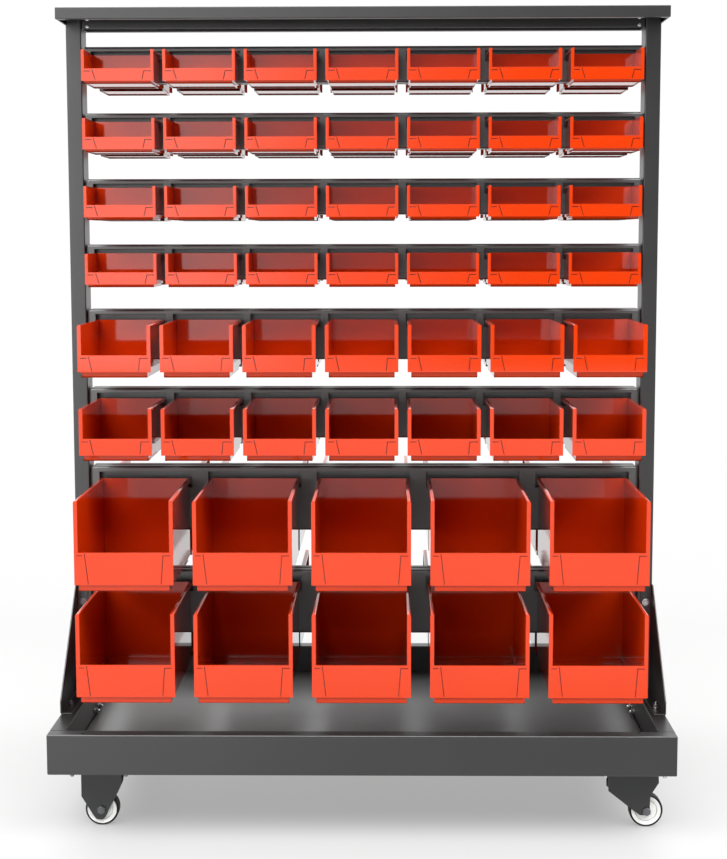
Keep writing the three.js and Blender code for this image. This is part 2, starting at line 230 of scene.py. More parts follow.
# Base
# Four box rails folded from 2 mm sheet, with a pan between them that the casters bolt to. The corner
# seams are open hairlines, and all of it is powder coated dark grey.
sheet = 0.002
fold_radius = 0.0018
edge_round = 0.0003
pan_edge_drop = 0.046
top_holes = [(-0.407, -0.2825), (0.405, -0.2725)]
top_hole_radius = 0.0024
steel_dark = (0.0040, 0.0041, 0.0043)
steel_light = (0.0070, 0.0071, 0.0074)
# Painted light on the pan: its colour runs from lit at the left to shaded at the right.
pan_shaded = grey(0.022)
pan_lit = grey(0.060)
pan_lit_span = (0.55, -0.35)
peel_scale = 1400
peel_height = 0.00003
facing = 0.99
same_place = 1e-5
sharp_turn = radians(40)
crease_turn = radians(35)


def powder_coat(name, dark, light):
    """Satin dark grey paint with a fine orange peel and faint cloudiness."""
    paint = new_finish(name)
    cloud = paint.noise(7)
    return paint.surface(
        Base_Color=paint.blend(cloud, dark, light),
        Roughness=0.30 + cloud * 0.08,
        Specular_IOR_Level=0.92,
        Normal=paint.bump(paint.noise(peel_scale, 1), peel_height),
    )


def pan_lit_coat():
    """A glossier coat on the pan with painted light: lighter and glossier towards the left, where the light
    falls, in soft patches that fade towards the right.
    """
    paint = new_finish("pan_lit_coat")
    x = paint.node("SeparateXYZ", inputs={0: paint.place})
    patch = paint.noise(5)
    lit_share = paint.ramp(x + patch * 0.3, *pan_lit_span)
    return paint.surface(
        Base_Color=paint.blend(lit_share, pan_shaded, pan_lit),
        Roughness=0.28 + patch * 0.12,
        Specular_IOR_Level=1.0,
        Coat_Weight=lit_share,
        Coat_Roughness=0.3,
        Normal=paint.bump(paint.noise(peel_scale, 1), peel_height),
    )


coat = powder_coat("powder_coat", steel_dark, steel_light)


def add_box(bm, low, high):
    """A box between two corners. Returns its vertices."""
    low, high = Vector(low), Vector(high)
    place = Matrix.Translation((low + high) / 2) @ Matrix.Diagonal((*(high - low), 1))
    return bmesh.ops.create_cube(bm, size=1, matrix=place)["verts"]


def faces_towards(bm, direction):
    """The faces that look along a direction."""
    return [f for f in bm.faces if f.normal.dot(Vector(direction)) > facing]


def fold_edges(bm):
    """The edges between two faces that meet at about a right angle."""
    return [e for e in bm.edges if len(e.link_faces) == 2 and e.calc_face_angle(0) > 1]


def round_edges(bm, edges, radius, segments=3):
    bmesh.ops.bevel(
        bm,
        geom=edges,
        offset=radius,
        offset_type="OFFSET",
        affect="EDGES",
        segments=segments,
        profile=0.5,
        material=-1,
        clamp_overlap=True,
    )


def break_edges(bm, width=edge_round, segments=1):
    """Rounds every sharp edge a little."""
    sharp = [e for e in bm.edges if len(e.link_faces) == 2 and e.calc_face_angle(0) > sharp_turn]
    round_edges(bm, sharp, width, segments)


def slice_at(bm, place, normal, faces):
    """Adds edges where a plane crosses some faces."""
    edges = {e for f in faces for e in f.edges}
    verts = {v for f in faces for v in f.verts}
    geom = [*faces, *edges, *verts]
    bmesh.ops.bisect_plane(bm, geom=geom, dist=1e-7, plane_co=place, plane_no=normal)
    bm.normal_update()


def thicken(bm):
    """Gives an open sheet its thickness, inwards."""
    bmesh.ops.recalc_face_normals(bm, faces=bm.faces)
    bmesh.ops.solidify(bm, geom=bm.faces[:], thickness=sheet)


def drill(bm, place, radius):
    """Opens a round hole in a level sheet that has no thickness yet."""
    x, y, z = place
    half = 2 * radius

    def level_faces():
        return [f for f in faces_towards(bm, (0, 0, 1)) if abs(f.calc_center_median().z - z) < same_place]

    for value in (x - half, x + half):
        slice_at(bm, (value, 0, 0), (1, 0, 0), level_faces())
    for value in (y - half, y + half):
        slice_at(bm, (0, value, 0), (0, 1, 0), level_faces())
    patch = []
    for face in level_faces():
        middle = face.calc_center_median()
        if abs(middle.x - x) < half and abs(middle.y - y) < half:
            patch.append(face)
    outer = {e for f in patch for e in f.edges}
    bmesh.ops.delete(bm, geom=patch, context="FACES_ONLY")
    ring = bmesh.ops.create_circle(bm, segments=16, radius=radius, matrix=Matrix.Translation(place))
    inner = {e for v in ring["verts"] for e in v.link_edges}
    bmesh.ops.bridge_loops(bm, edges=[*outer, *inner])
    bm.normal_update()


def finish_piece(bm, name, material, body="frame", replaces=()):
    """Writes a mesh out as a piece that rides on a body."""
    mesh = bpy.data.meshes.new(name)
    for face in bm.faces:
        face.smooth = True
    bm.to_mesh(mesh)
    bm.free()
    mesh.set_sharp_from_angle(angle=crease_turn)
    mesh.materials.append(material)
    piece = bpy.data.objects.new(name, mesh)
    bpy.context.scene.collection.objects.link(piece)
    piece.modifiers.new("flat_faces", "WEIGHTED_NORMAL").keep_sharp = True
    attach(piece, body)
    if replaces:
        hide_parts(*replaces)


def base_rail(node, inward, open_ends=False, holes=()):
    """A folded box rail of the base. Its inner wall stops above the floor pan's edge."""
    low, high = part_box(node)
    inner_end = high.z - pan_edge_drop - sheet
    bm = bmesh.new()
    add_box(bm, low, high)
    bm.normal_update()
    if open_ends:
        ends = faces_towards(bm, (0, 1, 0)) + faces_towards(bm, (0, -1, 0))
        bmesh.ops.delete(bm, geom=ends, context="FACES_ONLY")
    slice_at(bm, (0, 0, inner_end), (0, 0, 1), faces_towards(bm, inward))
    below = [f for f in faces_towards(bm, inward) if f.calc_center_median().z < inner_end]
    bmesh.ops.delete(bm, geom=below, context="FACES_ONLY")
    round_edges(bm, fold_edges(bm), fold_radius)
    bm.normal_update()
    for x, y in holes:
        drill(bm, (x, y, high.z), top_hole_radius)
    thicken(bm)
    break_edges(bm)
    finish_piece(bm, "dressed_" + node, coat, replaces=[node])


base_rail("base_front_rail", (0, 1, 0), holes=top_holes)
base_rail("base_rear_rail", (0, -1, 0))
base_rail("base_left_rail", (1, 0, 0), open_ends=True)
base_rail("base_right_rail", (-1, 0, 0), open_ends=True)


def floor_pan():
    """The pan between the rails: a flat sheet turned down at its edges, with two channels under it."""
    low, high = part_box("base_floor")
    bm = bmesh.new()
    add_box(bm, low, high)
    bm.normal_update()
    bmesh.ops.delete(bm, geom=faces_towards(bm, (0, 0, -1)), context="FACES_ONLY")
    round_edges(bm, fold_edges(bm), fold_radius)
    thicken(bm)
    for plate_node in ("front_rigid_fork", "front_swivel_plate"):
        plate_low, plate_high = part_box(plate_node)
        left = max(plate_low.x, low.x + 2 * sheet)
        right = min(plate_high.x, high.x - 2 * sheet)
        added = add_box(bm, (left, low.y + sheet, low.z), (right, high.y - sheet, high.z - sheet))
        channel = {f for v in added for f in v.link_faces}
        bm.normal_update()
        open_faces = [f for f in channel if abs(f.normal.y) > facing or f.normal.z > facing]
        bmesh.ops.delete(bm, geom=open_faces, context="FACES_ONLY")
        bmesh.ops.solidify(bm, geom=[f for f in channel if f.is_valid], thickness=sheet)
    break_edges(bm)
    finish_piece(bm, "dressed_base_floor", pan_lit_coat(), replaces=["base_floor"])


floor_pan()

# Uprights
# Two box sections folded from sheet. They stand on the side rails of the base, and the bin rails and
# the beam end against their inner faces.
upright_gap = 0.0003


def upright(node):
    low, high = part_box(node)
    bm = bmesh.new()
    add_box(bm, low, high)
    bm.normal_update()
    open_faces = faces_towards(bm, (0, 0, 1)) + faces_towards(bm, (0, 0, -1))
    bmesh.ops.delete(bm, geom=open_faces, context="FACES_ONLY")
    round_edges(bm, fold_edges(bm), fold_radius)
    thicken(bm)
    break_edges(bm)
    finish_piece(bm, "dressed_" + node, coat, replaces=[node])


upright("left_upright")
upright("right_upright")
inner_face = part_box("right_upright")[0].x - upright_gap

# Gussets
# Sloping plates between the base and each upright, with a foot flange on the base and a flange up
# their inner edge against the upright.
gusset_toe = 0.021
gusset_head = 0.014
gusset_bend = 0.003


def gusset(node, side, end):
    """side is 1 at the right and -1 at the left, end is -1 in front and 1 behind."""
    low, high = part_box(node)
    outer = high.x if side > 0 else low.x
    inner = low.x if side > 0 else high.x
    near = high.y if end < 0 else low.y
    far = low.y if end < 0 else high.y
    corners = [
        (near, low.z),
        (near, high.z),
        (near + end * gusset_head, high.z),
        (far, low.z + gusset_toe),
        (far, low.z),
    ]
    bm = bmesh.new()
    plate = bm.faces.new([bm.verts.new((outer, y, z)) for y, z in corners])
    foot = [e for e in plate.edges if all(abs(v.co.z - low.z) < same_place for v in e.verts)]
    back = [e for e in plate.edges if all(abs(v.co.y - near) < same_place for v in e.verts)]
    for edge in foot + back:
        out = bmesh.ops.extrude_edge_only(bm, edges=[edge])
        moved = [g for g in out["geom"] if isinstance(g, bmesh.types.BMVert)]
        bmesh.ops.translate(bm, verts=moved, vec=(inner - outer, 0, 0))
    round_edges(bm, [e for e in bm.edges if len(e.link_faces) == 2], gusset_bend)
    bmesh.ops.recalc_face_normals(bm, faces=bm.faces)
    bm.normal_update()
    flat = max(bm.faces, key=lambda f: f.calc_area())
    if flat.normal.x * side < 0:
        bmesh.ops.reverse_faces(bm, faces=bm.faces)
    bmesh.ops.solidify(bm, geom=bm.faces[:], thickness=sheet)
    break_edges(bm)
    finish_piece(bm, "dressed_" + node, coat, replaces=[node])


for side_name, side in (("left", -1), ("right", 1)):
    for end_name, end in (("front", -1), ("rear", 1)):
        gusset(f"{end_name}_{side_name}_gusset", side, end)

# Top tray and beam
# The tray is a pan turned down at its edges with a narrow return all round. The beam below it ties the
# uprights together.
tray_return = 0.012
tray_end_return = 0.0032
tray_fold = 0.0012


def top_tray():
    low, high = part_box("top_tray")
    bm = bmesh.new()
    add_box(bm, low, high)
    bm.normal_update()
    bmesh.ops.delete(bm, geom=faces_towards(bm, (0, 0, -1)), context="FACES_ONLY")
    rim = [e for e in bm.edges if len(e.link_faces) == 1]
    out = bmesh.ops.extrude_edge_only(bm, edges=rim)
    moved = [g for g in out["geom"] if isinstance(g, bmesh.types.BMVert)]
    for vert in moved:
        vert.co.x -= tray_end_return * (1 if vert.co.x > 0 else -1)
        vert.co.y -= tray_return * (1 if vert.co.y > 0 else -1)
    round_edges(bm, fold_edges(bm), tray_fold)
    thicken(bm)
    break_edges(bm)
    finish_piece(bm, "dressed_top_tray", coat, replaces=["top_tray"])


def top_beam():
    low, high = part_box("top_beam")
    bm = bmesh.new()
    add_box(bm, (-inner_face, low.y, low.z), (inner_face, high.y, high.z))
    bm.normal_update()
    bmesh.ops.delete(bm, geom=faces_towards(bm, (0, 0, -1)), context="FACES_ONLY")
    round_edges(bm, fold_edges(bm), fold_radius)
    thicken(bm)
    break_edges(bm)
    finish_piece(bm, "dressed_top_beam", coat, replaces=["top_beam"])


top_tray()
top_beam()

# Bin rails
# Each is a pair of folded channels back to back, with a window for every bin. A block at each end
# meets the inner face of the upright. The sizes of a kind are those of its windows and its bins.
rail_half = 0.021
rail_half_length = 0.4305
rail_fold = 0.004
seam_half = 0.0002
tab_half_depth = 0.012
tab_drop = 0.003
# The rails' copy of the powder coat is far lighter than the frame's: painted light for rails that stand in
# the shade of the bins.
rail_dark = (0.046, 0.048, 0.049)
rail_light = (0.058, 0.060, 0.061)

kinds = {
    "small": {
        "count": 7,
        "pitch": 0.122,
        "width": 0.1088,
        "depth": 0.092,
        "window_width": 0.110,
        "window_top": 0.0073,
        "window_bottom": 0.024,
        "bin_top": 0.0135,
        "body_height": 0.0467,
        "front_height": 0.0185,
        "foot_height": 0.0041,
        "foot_inset": 0.0045,
        "rim_width": 0.0046,
        "rim_height": 0.003,
        "tongue_width": 0.070,
        "label_left": (0.0164, 0.0206),
        "label_right": (0.0138, 0.0170),
        "ledge_drop": 0.0034,
        "rim_round": 0.0016,
        "foot_slope": 0.0030,
        "skirt": 0.0014,
    },
    "medium": {
        "count": 7,
        "pitch": 0.122,
        "width": 0.1084,
        "depth": 0.171,
        "window_width": 0.110,
        "window_top": 0.0075,
        "window_bottom": 0.028,
        "bin_top": 0.0162,
        "body_height": 0.0699,
        "front_height": 0.0251,
        "foot_height": 0.0080,
        "foot_inset": 0.0055,
        "rim_width": 0.0056,
        "rim_height": 0.004,
        "tongue_width": 0.078,
        "label_left": (0.0162, 0.0206),
        "label_right": (0.0155, 0.0173),
        "ledge_drop": 0.0040,
        "rim_round": 0.0020,
        "foot_slope": 0.0034,
        "skirt": 0,
    },
    "large": {
        "count": 5,
        "pitch": 0.1729,
        "width": 0.1449,
        "depth": 0.242,
        "window_width": 0.1474,
        "window_top": 0.009,
        "window_bottom": 0.034,
        "bin_top": 0.0192,
        "body_height": 0.1241,
        "front_height": 0.0481,
        "foot_height": 0.0086,
        "foot_inset": 0.0061,
        "rim_width": 0.0058,
        "rim_height": 0.005,
        "tongue_width": 0.104,
        "label_left": (0.0150, 0.0198),
        "label_right": (0.0143, 0.0175),
        "ledge_drop": 0.0038,
        "rim_round": 0.0026,
        "foot_slope": 0.0012,
        "skirt": 0,
    },
}
levels = ["small"] * 4 + ["medium"] * 2 + ["large"] * 2
rail_heights = [0.0555] * 4 + [0.0792] * 2 + [0.1028] * 2

# Painted light: the same powder coat, lifted to make up for the bins' shade.
rail_lit_coat = powder_coat("rail_lit_coat", rail_dark, rail_light)


def bin_places(kind):
    return [(i - (kind["count"] - 1) / 2) * kind["pitch"] for i in range(kind["count"])]


def rail_channel(bm, kind, top, bottom, end):
    """One of the two channels of a rail, with the windows in its outer face. end is -1 in front."""
    web = end * rail_half
    low_y, high_y = sorted((end * seam_half, web))
    added = add_box(bm, (-rail_half_length, low_y, bottom), (rail_half_length, high_y, top))
    bm.normal_update()
    ends = {f for v in added for f in v.link_faces if abs(f.normal.x) > facing}
    bmesh.ops.delete(bm, geom=list(ends), context="FACES_ONLY")

    def outer_faces():
        outwards = faces_towards(bm, (0, end, 0))
        return [f for f in outwards if abs(f.calc_center_median().y - web) < same_place]

    half_window = kind["window_width"] / 2
    window_top = top - kind["window_top"]
    window_bottom = top - kind["window_bottom"]
    for x in bin_places(kind):
        for edge_x in (x - half_window, x + half_window):
            slice_at(bm, (edge_x, 0, 0), (1, 0, 0), outer_faces())
    for z in (window_top, window_bottom):
        slice_at(bm, (0, 0, z), (0, 0, 1), outer_faces())
    windows = []
    for face in outer_faces():
        middle = face.calc_center_median()
        in_height = window_bottom < middle.z < window_top
        in_width = any(abs(middle.x - x) < half_window for x in bin_places(kind))
        if in_height and in_width:
            windows.append(face)
    bmesh.ops.delete(bm, geom=windows, context="FACES_ONLY")


def bin_rail(level):
    node = f"bin_rail_{level + 1}"
    kind = kinds[levels[level]]
    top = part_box(node)[1].z
    bottom = top - rail_heights[level]
    bm = bmesh.new()
    for end in (-1, 1):
        rail_channel(bm, kind, top, bottom, end)
    bm.normal_update()
    round_edges(bm, fold_edges(bm), rail_fold, 4)
    bmesh.ops.solidify(bm, geom=bm.faces[:], thickness=sheet)
    for side in (-1, 1):
        low_x, high_x = sorted((side * (rail_half_length - 2 * sheet), side * inner_face))
        low = (low_x, -tab_half_depth, bottom + tab_drop)
        add_box(bm, low, (high_x, tab_half_depth, top - tab_drop))
    break_edges(bm)
    finish_piece(bm, f"rail_{level + 1}", rail_lit_coat, replaces=[node])
    return top


rail_tops = [bin_rail(level) for level in range(len(levels))]

# Bins
# Injection moulded boxes with a low front, a rim turned out along the sides and down the front, a
# stepped foot for stacking, and a label panel framed by grooves. A tongue on the back hangs in the
# rail's window. Their meshes have the back in y = 0, the open top in z = 0 and the front at -Y.
bin_wall = 0.0022
bin_edge = 0.00045
wall_lean = 0.012
foot_setback_share = 0.35
skirt_wall = 0.0014
tongue_reach = 0.016
tongue_gauge = 0.0026
tongue_fall = tan(radians(7))
hang_gap = 0.0003
groove_width = 0.0012
groove_depth = 0.0012
groove_top_drop = 0.0014
groove_bottom_rise = 0.0018
rib_width = 0.0030
flange_edge = 0.0040
past = 1.0
bin_red = (0.475, 0.028, 0.0012)
bin_orange = (0.515, 0.032, 0.0015)
painted_shade_red = (0.09, 0.005, 0.0006)
grain_scale = 2600
grain_height = 0.000004


def moulded_plastic():
    """Glossy orange red plastic with a very fine grain, and painted shade where faces carry the groove
    attribute: in the label's grooves, on the foot's back face and on the skirt's inner walls.
    """
    plastic = new_finish("bin_plastic")
    flow = plastic.noise(11)
    groove = plastic.node("Attribute", {"attribute_name": "groove"}, out=2)
    return plastic.surface(
        Base_Color=plastic.blend(groove, plastic.blend(flow, bin_red, bin_orange), painted_shade_red),
        Roughness=0.03 + flow * 0.04,
        Normal=plastic.bump(plastic.noise(grain_scale, 1), grain_height),
    )


plastic = moulded_plastic()


def faces_in(bm, axis, level, low=(-past,) * 3, high=(past,) * 3):
    """The faces that lie in a plane square to an axis, with their middles inside a box."""
    found = []
    for face in bm.faces:
        middle = face.calc_center_median()
        flat = abs(face.normal[axis]) > facing and abs(middle[axis] - level) < same_place
        if flat and all(low[i] <= middle[i] <= high[i] for i in range(3) if i != axis):
            found.append(face)
    return found


def cut_patch(bm, axis, level, low, high):
    """Cuts a rectangle out of a flat face and returns its faces."""
    for i in range(3):
        along = Vector((i == 0, i == 1, i == 2))
        if i != axis:
            for value in (low[i], high[i]):
                slice_at(bm, along * value, along, faces_in(bm, axis, level))
    return faces_in(bm, axis, level, low, high)


def push(bm, faces, move):
    """Pushes a patch of faces out or in, with new walls round it."""
    out = bmesh.ops.extrude_face_region(bm, geom=faces)
    moved = [g for g in out["geom"] if isinstance(g, bmesh.types.BMVert)]
    bmesh.ops.translate(bm, verts=moved, vec=move)
    bmesh.ops.delete(bm, geom=faces, context="FACES_ONLY")
    bm.normal_update()
    return [g for g in out["geom"] if isinstance(g, bmesh.types.BMFace)]


# Marks faces for painted shade: the plastic turns dark red there.
def paint_shade(bm, faces):
    layer = bm.faces.layers.float["groove"]
    for face in faces:
        face[layer] = 1.0


def bin_body(bm, kind):
    """Pushes the body down from the rim, leaving flanges at the sides of the front, and hollows it."""
    height = kind["body_height"]
    inside = kind["width"] / 2 - kind["rim_width"]
    body = inside + bin_wall
    front = bin_wall - kind["depth"]
    rim = -kind["rim_height"]
    cut_patch(bm, 2, rim, (-body, front, -past), (body, past, past))
    kept = []
    for face in faces_in(bm, 2, rim):
        middle = face.calc_center_median()
        if abs(middle.x) < body or middle.y < front:
            kept.append(face)
    push(bm, kept, (0, 0, -height - rim))
    mouth = cut_patch(bm, 2, 0, (-inside, front, -past), (inside, -bin_wall, past))
    inner_floor = push(bm, mouth, (0, 0, bin_wall - height))
    for vert in {v for f in inner_floor for v in f.verts}:
        if vert.co.y > -bin_wall - same_place:
            vert.co.y += height * wall_lean


def bin_foot(bm, kind):
    """The foot, with a step inside the bin as well, or hollow below where the bin is shallow."""
    height = kind["body_height"]
    inset = kind["foot_inset"]
    side = kind["width"] / 2 - inset
    front = inset * foot_setback_share - kind["depth"]
    sole = -height - kind["foot_height"]
    base = cut_patch(bm, 2, -height, (-side, front, -past), (side, -inset, past))
    push(bm, base, (0, 0, -kind["foot_height"]))
    for vert in bm.verts:
        if abs(vert.co.z - sole) < same_place and abs(vert.co.y - front) < same_place:
            vert.co.y += kind["foot_slope"]
    bm.normal_update()
    # Painted shade on the foot's back face, under the bin.
    paint_shade(bm, faces_in(bm, 1, -inset, (-past, -past, sole), (past, past, -height)))
    if kind["skirt"]:
        low = (skirt_wall - side, front + kind["foot_slope"] + skirt_wall, -past)
        hollow = cut_patch(bm, 2, sole, low, (side - skirt_wall, -inset - skirt_wall, past))
        before = set(bm.faces) - set(hollow)
        flat = push(bm, hollow, (0, 0, kind["skirt"]))
        # Painted shade on the skirt's inner walls, under the bin.
        paint_shade(bm, set(bm.faces) - before - set(flat))
    else:
        low = (bin_wall - side, front + bin_wall, -past)
        well = cut_patch(bm, 2, bin_wall - height, low, (side - bin_wall, -inset - bin_wall, past))
        push(bm, well, (0, 0, -kind["foot_height"]))


def low_front(bm, kind):
    """Cuts the front wall away above its lip and closes the cut."""
    inside = kind["width"] / 2 - kind["rim_width"]
    front = -kind["depth"]
    back = front + bin_wall
    lip = kind["front_height"] - kind["body_height"]
    for y in (front, back):
        cut_patch(bm, 1, y, (-inside, -past, lip), (inside, past, past))
    cut_patch(bm, 2, 0, (-inside, -past, -past), (inside, back, past))
    gone = faces_in(bm, 1, front, (-inside, -past, lip), (inside, past, past))
    gone += faces_in(bm, 1, back, (-inside, -past, lip), (inside, past, past))
    gone += faces_in(bm, 2, 0, (-inside, front, -past), (inside, back, past))
    bmesh.ops.delete(bm, geom=gone, context="FACES")
    cut = [e for e in bm.edges if len(e.link_faces) == 1]
    front_chain = [e for e in cut if all(v.co.y < front + same_place for v in e.verts)]
    back_chain = [e for e in cut if all(v.co.y > back - same_place for v in e.verts)]
    bmesh.ops.bridge_loops(bm, edges=front_chain + back_chain)
    bmesh.ops.recalc_face_normals(bm, faces=bm.faces)
    bm.normal_update()


def hanging_tongue(bm, kind):
    """The tongue on the back, which falls from the window's sill towards its tip."""
    top = kind["bin_top"] - kind["window_bottom"] + hang_gap + tongue_gauge
    half = kind["tongue_width"] / 2
    root = cut_patch(bm, 1, 0, (-half, -past, top - tongue_gauge), (half, past, top))
    push(bm, root, (0, tongue_reach, -tongue_reach * tongue_fall))


def rounded_rim(bm, kind):
    """Rounds the rim over along both sides."""
    crest = []
    for edge in bm.edges:
        if all(abs(abs(v.co.x) - kind["width"] / 2) + abs(v.co.z) < same_place for v in edge.verts):
            crest.append(edge)
    round_edges(bm, crest, kind["rim_round"])
    bm.normal_update()


def label_front(bm, kind):
    """Cuts the grooves that frame the label: on each flank a level one, with a slanting one beside it. The
    grooves are painted dark as shade, and each slanting one sits on the right-hand side of a rib, where
    shade falls in light from the left, so the two flanks differ.
    """
    outer = kind["width"] / 2
    lip = kind["front_height"] - kind["body_height"]
    ledge = lip - kind["ledge_drop"]
    slant_top = lip - groove_top_drop
    bottom = groove_bottom_rise - kind["body_height"]
    flank = outer - flange_edge
    slants = {}
    for side, name in ((-1, "label_left"), (1, "label_right")):
        at_ledge, at_bottom = (outer - inset for inset in kind[name])
        slants[side] = (at_ledge, (at_ledge - at_bottom) / (ledge - bottom))

    def front():
        return faces_in(bm, 1, -kind["depth"], (-past,) * 3, (past, past, lip))

    def beyond(middle):
        """How far a place lies outside the slanting groove's outer line."""
        at_ledge, slope = slants[1 if middle.x > 0 else -1]
        return abs(middle.x) - at_ledge + slope * (ledge - middle.z)

    for side, (at_ledge, slope) in slants.items():
        for offset in (0, groove_width):
            slice_at(bm, (side * (at_ledge - offset), 0, ledge), (side, 0, -slope), front())
        slice_at(bm, (side * flank, 0, 0), (1, 0, 0), front())
    slice_at(bm, (-slants[-1][0] - rib_width, 0, 0), (1, 0, 0), front())
    for z in (bottom, ledge - groove_width, ledge, slant_top):
        slice_at(bm, (0, 0, z), (0, 0, 1), front())

    for side, top, rib in ((-1, slant_top, rib_width), (1, ledge, 0)):
        groove = []
        for face in front():
            middle = face.calc_center_median()
            outside = beyond(middle)
            slanting = -groove_width < outside < 0
            level = rib < outside and abs(middle.x) < flank and ledge - groove_width < middle.z < ledge
            if middle.x * side > 0 and bottom < middle.z < top and (slanting or level):
                groove.append(face)
        before = set(bm.faces) - set(groove)
        push(bm, groove, (0, groove_depth, 0))
        # The groove's new faces get painted shade.
        paint_shade(bm, set(bm.faces) - before)


def bin_mesh(kind):
    outer = kind["width"] / 2
    bm = bmesh.new()
    bm.faces.layers.float.new("groove")
    add_box(bm, (-outer, -kind["depth"], -kind["rim_height"]), (outer, 0, 0))
    bm.normal_update()
    bin_body(bm, kind)
    bin_foot(bm, kind)
    low_front(bm, kind)
    hanging_tongue(bm, kind)
    rounded_rim(bm, kind)
    label_front(bm, kind)
    break_edges(bm, bin_edge, 2)
    bmesh.ops.recalc_face_normals(bm, faces=bm.faces)
    return bm


def hang_bins(level, top):
    """A row of bins on each side of a rail. The medium and large ones in front slide off it."""
    kind = kinds[levels[level]]
    for end_name, end in (("front", -1), ("rear", 1)):
        loose = end_name == "front" and levels[level] != "small"
        turn = Matrix.Rotation(0 if end < 0 else pi, 4, "Z")
        for i, x in enumerate(bin_places(kind)):
            copy = patterns[levels[level]].copy()
            place = Matrix.Translation((x, end * (rail_half + hang_gap), top - kind["bin_top"]))
            bmesh.ops.transform(copy, matrix=place @ turn, verts=copy.verts)
            node = f"bin_{level + 1}_{i + 1}"
            finish_piece(
                copy,
                f"{end_name}_{node}",
                plastic,
                body=node if loose else "frame",
                replaces=[node] if loose else (),
            )


patterns = {name: bin_mesh(kind) for name, kind in kinds.items()}
for level, top in enumerate(rail_tops):
    hang_bins(level, top)
for pattern in patterns.values():
    pattern.free()

# Fasteners
# Zinc plated bolts: two through each upright at every rail end, two in each end of the beam, two in each
# gusset, and two with nuts inside each side rail of the base. The gusset bolts at the left and the rigid
# casters' plate bolts take a darker copy of the zinc: painted shade. A button is given as its radius and
# height, a bolt as its head's radius and height and what stands out of the nut.
zinc_dark = (0.50, 0.51, 0.53)
zinc_light = (0.74, 0.75, 0.76)
shaded_zinc_dark = (0.16, 0.16, 0.17)
shaded_zinc_light = (0.26, 0.26, 0.27)
washer = 0.0009
washer_share = 1.28
washer_top_share = 1.22
shank_share = 0.52
stud_chamfer = 0.0006
stud_overlap = 0.0002
hex_chamfer_share = 0.12
rail_button = (0.0048, 0.0024)
beam_button = (0.0032, 0.0022)
gusset_bolt = (0.0046, 0.0028)
foot_bolt = (0.0036, 0.0046, 0.004)
base_bolt = (0.0046, 0.0042, 0.003)
small_drops = (0.0145, 0.0490)
tall_drop = 0.0150
tall_rise = 0.0065
beam_button_x = 0.4252
beam_button_heights = (1.2115, 1.2001)
gusset_bolt_x = 0.449
gusset_bolt_height = 0.298
foot_bolt_x = 0.4492
foot_bolt_y = 0.142
base_bolt_y = 0.015
base_bolt_height = 0.117


def zinc_plate(name, dark, light, roughness):
    zinc = new_finish(name)
    cloud = zinc.noise(90)
    return zinc.surface(
        Base_Color=zinc.blend(cloud, dark, light),
        Metallic=1.0,
        Roughness=roughness + cloud * 0.15,
    )


zinc = zinc_plate("zinc_plate", zinc_dark, zinc_light, 0.2)
# A darker copy of the zinc: painted shade for the bolts at the left end.
shaded_zinc = zinc_plate("shaded_zinc", shaded_zinc_dark, shaded_zinc_light, 0.3)


def stand_on(place, axis):
    """Turns Z to an axis and moves the origin to a place."""
    return Matrix.Translation(place) @ Vector(axis).to_track_quat("Z", "Y").to_matrix().to_4x4()


def lathe(bm, profile, place, axis, steps=24):
    """Turns a profile of (radius, height) points about an axis through a place."""
    before = set(bm.verts)
    chain = [bm.verts.new((radius, 0, height)) for radius, height in profile]
    edges = [bm.edges.new(pair) for pair in zip(chain, chain[1:])]
    bmesh.ops.spin(
        bm,
        geom=chain + edges,
        cent=(0, 0, 0),
        axis=(0, 0, 1),
        angle=tau,
        steps=steps,
        use_merge=True,
    )
    added = [v for v in bm.verts if v not in before]
    bmesh.ops.remove_doubles(bm, verts=added, dist=1e-6)
    added = [v for v in bm.verts if v not in before]
    bmesh.ops.transform(bm, matrix=stand_on(place, axis), verts=added)
    bmesh.ops.recalc_face_normals(bm, faces=list({f for v in added for f in v.link_faces}))


def hex_head(bm, place, axis, radius, height):
    """A hexagon with its outer corners chamfered, standing on a place."""
    made = bmesh.ops.create_cone(
        bm,
        cap_ends=True,
        segments=6,
        radius1=radius,
        radius2=radius,
        depth=height,
        matrix=stand_on(place, axis) @ Matrix.Translation((0, 0, height / 2)),
    )
    axis = Vector(axis)
    top = Vector(place) + axis * height
    crown = {e for v in made["verts"] for e in v.link_edges}
    crown = [e for e in crown if all(abs((v.co - top).dot(axis)) < same_place for v in e.verts)]
    round_edges(bm, crown, radius * hex_chamfer_share, 1)


def bolt(bm, place, axis, head, height, stud=0.0):
    """A washer with a hexagon on it, and the end of a stud where there is one."""
    place = Vector(place)
    axis = Vector(axis)
    outer = head * washer_share
    rim = [(0, 0), (outer, 0), (outer, washer * 0.8), (head * washer_top_share, washer), (0, washer)]
    lathe(bm, rim, place, axis)
    hex_head(bm, place + axis * washer, axis, head, height)
    if stud:
        shank = head * shank_share
        end = [(0, 0), (shank, 0), (shank, stud - stud_chamfer), (shank * 0.8, stud), (0, stud)]
        lathe(bm, end, place + axis * (washer + height - stud_overlap), axis, 16)


def button(bm, place, axis, radius, height):
    """A low round head with a socket in it."""
    dome = [
        (0, 0),
        (radius, 0),
        (radius * 0.96, height * 0.45),
        (radius * 0.78, height * 0.85),
        (radius * 0.5, height),
        (radius * 0.42, height),
        (radius * 0.36, height * 0.5),
        (0, height * 0.5),
    ]
    lathe(bm, dome, place, axis)


def rail_buttons():
    bm = bmesh.new()
    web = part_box("right_upright")[1].x
    for level, top in enumerate(rail_tops):
        drops = (tall_drop, rail_heights[level] - tall_rise)
        if levels[level] == "small":
            drops = small_drops
        for drop in drops:
            for side in (-1, 1):
                button(bm, (side * web, 0, top - drop), (side, 0, 0), *rail_button)
    finish_piece(bm, "rail_bolts", zinc)


